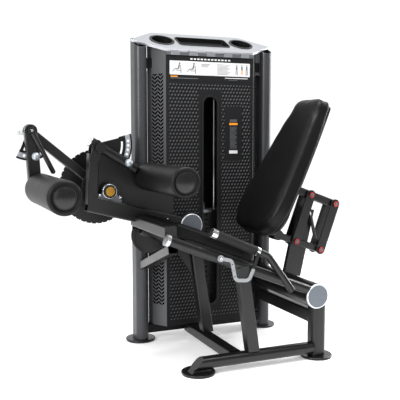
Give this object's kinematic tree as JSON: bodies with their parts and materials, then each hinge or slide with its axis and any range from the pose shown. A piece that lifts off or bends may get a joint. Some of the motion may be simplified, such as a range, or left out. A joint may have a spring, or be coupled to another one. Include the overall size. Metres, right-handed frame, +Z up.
{
  "type": "leg extension and seated leg curl machine",
  "caption": "Selectorised gym machine with a shrouded weight stack, padded seat, adjustable backrest, swinging lever with an ankle roller and an adjustable thigh roller.",
  "frame": {"origin": "bottom centre of the bounding box, on the floor", "axes": "+Z up, +X from the user's feet towards the user's back, -Y the open side the user climbs on from, with the weight tower at +Y"},
  "size_m": [1.559, 0.7919, 1.5785],
  "materials": {
    "frame_paint": "satin black powder coat",
    "post_paint": "satin dark grey metallic powder coat",
    "shroud_black": "fine textured black sheet with pressed dots",
    "shroud_grey": "satin grey sheet",
    "top_silver": "brushed silver sheet",
    "liner_black": "matte black moulded liner",
    "placard": null,
    "rod_steel": "polished steel",
    "stack_steel": "black painted steel plates",
    "rubber_black": "matte black rubber",
    "foot_black": "satin black dished foot",
    "cap_grey": "satin grey face with a bright rim",
    "trim_silver": "satin silver",
    "cable_black": "black nylon coated steel cable",
    "pulley_black": "moulded black nylon",
    "bearing_gold": "gold bearing cap in a black ring",
    "bearing_silver": "cast silver housing",
    "vinyl_black": "black vinyl upholstery with seams",
    "foam_black": "black foam rubber",
    "pin_steel": "satin steel",
    "grip_black": "black rubber grip",
    "index_steel": "silver plate with index holes",
    "knob_white": "light grey knob"
  },
  "bodies": {
    "frame": {"tower_frame": "post_paint", "front_shroud": "shroud_black", "corner_panels": "shroud_grey", "rear_shroud": "shroud_black", "slot_bezel": "liner_black", "top_plate": "top_silver", "top_liners": "liner_black", "panel_labels": "placard", "guide_rods": "rod_steel", "resting_plates": "stack_steel", "stack_bumpers": "rubber_black", "base_frame": "frame_paint", "foot_discs": "foot_black", "foot_pads": "rubber_black", "tube_end_caps": "cap_grey", "seat_frame": "frame_paint", "seat_board": "frame_paint", "pivot_frame": "frame_paint", "guard_plate": "frame_paint", "pillow_blocks": "bearing_silver", "bearing_cap": "bearing_gold", "thigh_index_plate": "index_steel", "pulley_cover": "frame_paint", "thigh_clamp_knob": "pulley_black", "lift_cable": "cable_black", "lift_cable_drop": "cable_black", "seat_cushion": "vinyl_black", "grip_tube": "frame_paint", "hand_grip": "grip_black", "frame_trim": "trim_silver", "back_column": "frame_paint"},
    "lever": {"lever_arm": "frame_paint", "cam_disc": "frame_paint", "cable_drum": "frame_paint", "lever_shafts": "pin_steel", "arm_end_knob": "knob_white", "ankle_index_plate": "index_steel"},
    "ankle_arm": {"ankle_arm": "frame_paint"},
    "ankle_roller": {"ankle_roller_foam": "foam_black", "ankle_roller_cap": "pulley_black"},
    "ankle_pin": {"ankle_pop_pin": "pin_steel"},
    "ankle_handle": {"release_handle": "frame_paint"},
    "thigh_arm": {"thigh_arm": "frame_paint"},
    "thigh_pin": {"thigh_pop_pin": "pin_steel"},
    "thigh_roller": {"thigh_roller_foam": "foam_black", "thigh_roller_cap": "pulley_black"},
    "lifted_stack": {"lifted_plates": "stack_steel", "selector_stem": "pin_steel"},
    "selector": {"selector_pin": "pulley_black"},
    "guide_pulley": {"guide_pulley": "pulley_black"},
    "side_pulley": {"side_pulley": "pulley_black"},
    "centre_pulley": {"centre_pulley": "pulley_black"},
    "front_link": {"front_links": "frame_paint"},
    "rear_link": {"rear_links": "frame_paint"},
    "back_rest": {"back_carriage": "frame_paint", "back_board": "frame_paint", "back_cushion": "vinyl_black"},
    "spring_body": {"gas_spring_body": "frame_paint"},
    "spring_rod": {"gas_spring_rod": "pin_steel"},
    "seat_lever": {"adjust_lever": "trim_silver"}
  },
  "joints": [
    {"name": "lever_swing", "type": "hinge", "parent": "frame", "child": "lever", "pos_m": [-0.36749, 0.266, 0.785], "axis": [0, -1, 0], "range_deg": [0, 95]},
    {"name": "ankle_arm_index", "type": "hinge", "parent": "lever", "child": "ankle_arm", "pos_m": [-0.71549, 0.266, 1.073], "axis": [0, -1, 0], "range_deg": [-20, 20]},
    {"name": "ankle_handle_squeeze", "type": "hinge", "parent": "ankle_arm", "child": "ankle_handle", "pos_m": [-0.71549, 0.266, 1.073], "axis": [0, -1, 0], "range_deg": [0, 12], "stiffness_Nm_per_rad": 1.5},
    {"name": "ankle_pin_pull", "type": "slide", "parent": "ankle_arm", "child": "ankle_pin", "axis": [0, -1, 0], "range_m": [0, 0.012], "stiffness_N_per_m": 400},
    {"name": "ankle_roller_spin", "type": "hinge", "parent": "ankle_arm", "child": "ankle_roller", "pos_m": [-0.68049, 0.266, 0.803], "axis": [0, -1, 0], "continuous": true},
    {"name": "thigh_arm_index", "type": "hinge", "parent": "frame", "child": "thigh_arm", "pos_m": [-0.43049, 0.266, 1.009], "axis": [0, -1, 0], "range_deg": [0, 36]},
    {"name": "thigh_pin_pull", "type": "slide", "parent": "thigh_arm", "child": "thigh_pin", "axis": [0, -1, 0], "range_m": [0, 0.012], "stiffness_N_per_m": 400},
    {"name": "thigh_roller_spin", "type": "hinge", "parent": "thigh_arm", "child": "thigh_roller", "pos_m": [-0.16349, 0.266, 0.85], "axis": [0, -1, 0], "continuous": true},
    {"name": "weight_lift", "type": "slide", "parent": "frame", "child": "lifted_stack", "axis": [0, 0, 1], "range_m": [0, 0.19088], "deforming": ["lift_cable_drop"]},
    {"name": "selector_pin_pull", "type": "slide", "parent": "lifted_stack", "child": "selector", "axis": [0, -1, 0], "range_m": [0, 0.06]},
    {"name": "guide_pulley_turn", "type": "hinge", "parent": "frame", "child": "guide_pulley", "pos_m": [-0.14649, 0.266, 0.552], "axis": [0, -1, 0], "range_deg": [-145, 0]},
    {"name": "side_pulley_turn", "type": "hinge", "parent": "frame", "child": "side_pulley", "pos_m": [-0.00349, 0.266, 1.32], "axis": [0, -1, 0], "range_deg": [0, 200]},
    {"name": "centre_pulley_turn", "type": "hinge", "parent": "frame", "child": "centre_pulley", "pos_m": [0.12651, 0.266, 1.32], "axis": [0, -1, 0], "range_deg": [0, 200]},
    {"name": "back_adjust", "type": "hinge", "parent": "frame", "child": "front_link", "pos_m": [0.52751, 0.266, 0.523], "axis": [0, -1, 0], "range_deg": [0, 24]},
    {"name": "rear_link_turn", "type": "hinge", "parent": "frame", "child": "rear_link", "pos_m": [0.67151, 0.266, 0.471], "axis": [0, -1, 0], "range_deg": [0, 24]},
    {"name": "back_rest_level", "type": "hinge", "parent": "front_link", "child": "back_rest", "pos_m": [0.61151, 0.266, 0.753], "axis": [0, -1, 0], "range_deg": [-24, 0]},
    {"name": "spring_swing", "type": "hinge", "parent": "frame", "child": "spring_body", "pos_m": [0.65651, 0.266, 0.512], "axis": [0, -1, 0], "range_deg": [0, 20.74]},
    {"name": "spring_stroke", "type": "slide", "parent": "spring_body", "child": "spring_rod", "axis": [-0.236, 0, 0.9718], "range_m": [0, 0.0552]},
    {"name": "seat_lever_lift", "type": "hinge", "parent": "frame", "child": "seat_lever", "pos_m": [-0.00849, 0.266, 0.51555], "axis": [0, -1, 0], "range_deg": [0, 12], "stiffness_Nm_per_rad": 2}
  ],
  "couplings": [
    {"joint": "weight_lift", "follows": "lever_swing", "m_per_rad": 0.115},
    {"joint": "guide_pulley_turn", "follows": "lever_swing", "ratio": -1.5132},
    {"joint": "side_pulley_turn", "follows": "lever_swing", "ratio": 2.0909},
    {"joint": "centre_pulley_turn", "follows": "lever_swing", "ratio": 2.0909},
    {"joint": "rear_link_turn", "follows": "back_adjust", "ratio": 1},
    {"joint": "back_rest_level", "follows": "back_adjust", "ratio": -1},
    {"joint": "spring_swing", "follows": "back_adjust", "ratio": 0.8518},
    {"joint": "spring_stroke", "follows": "back_adjust", "m_per_rad": 0.13065}
  ]
}
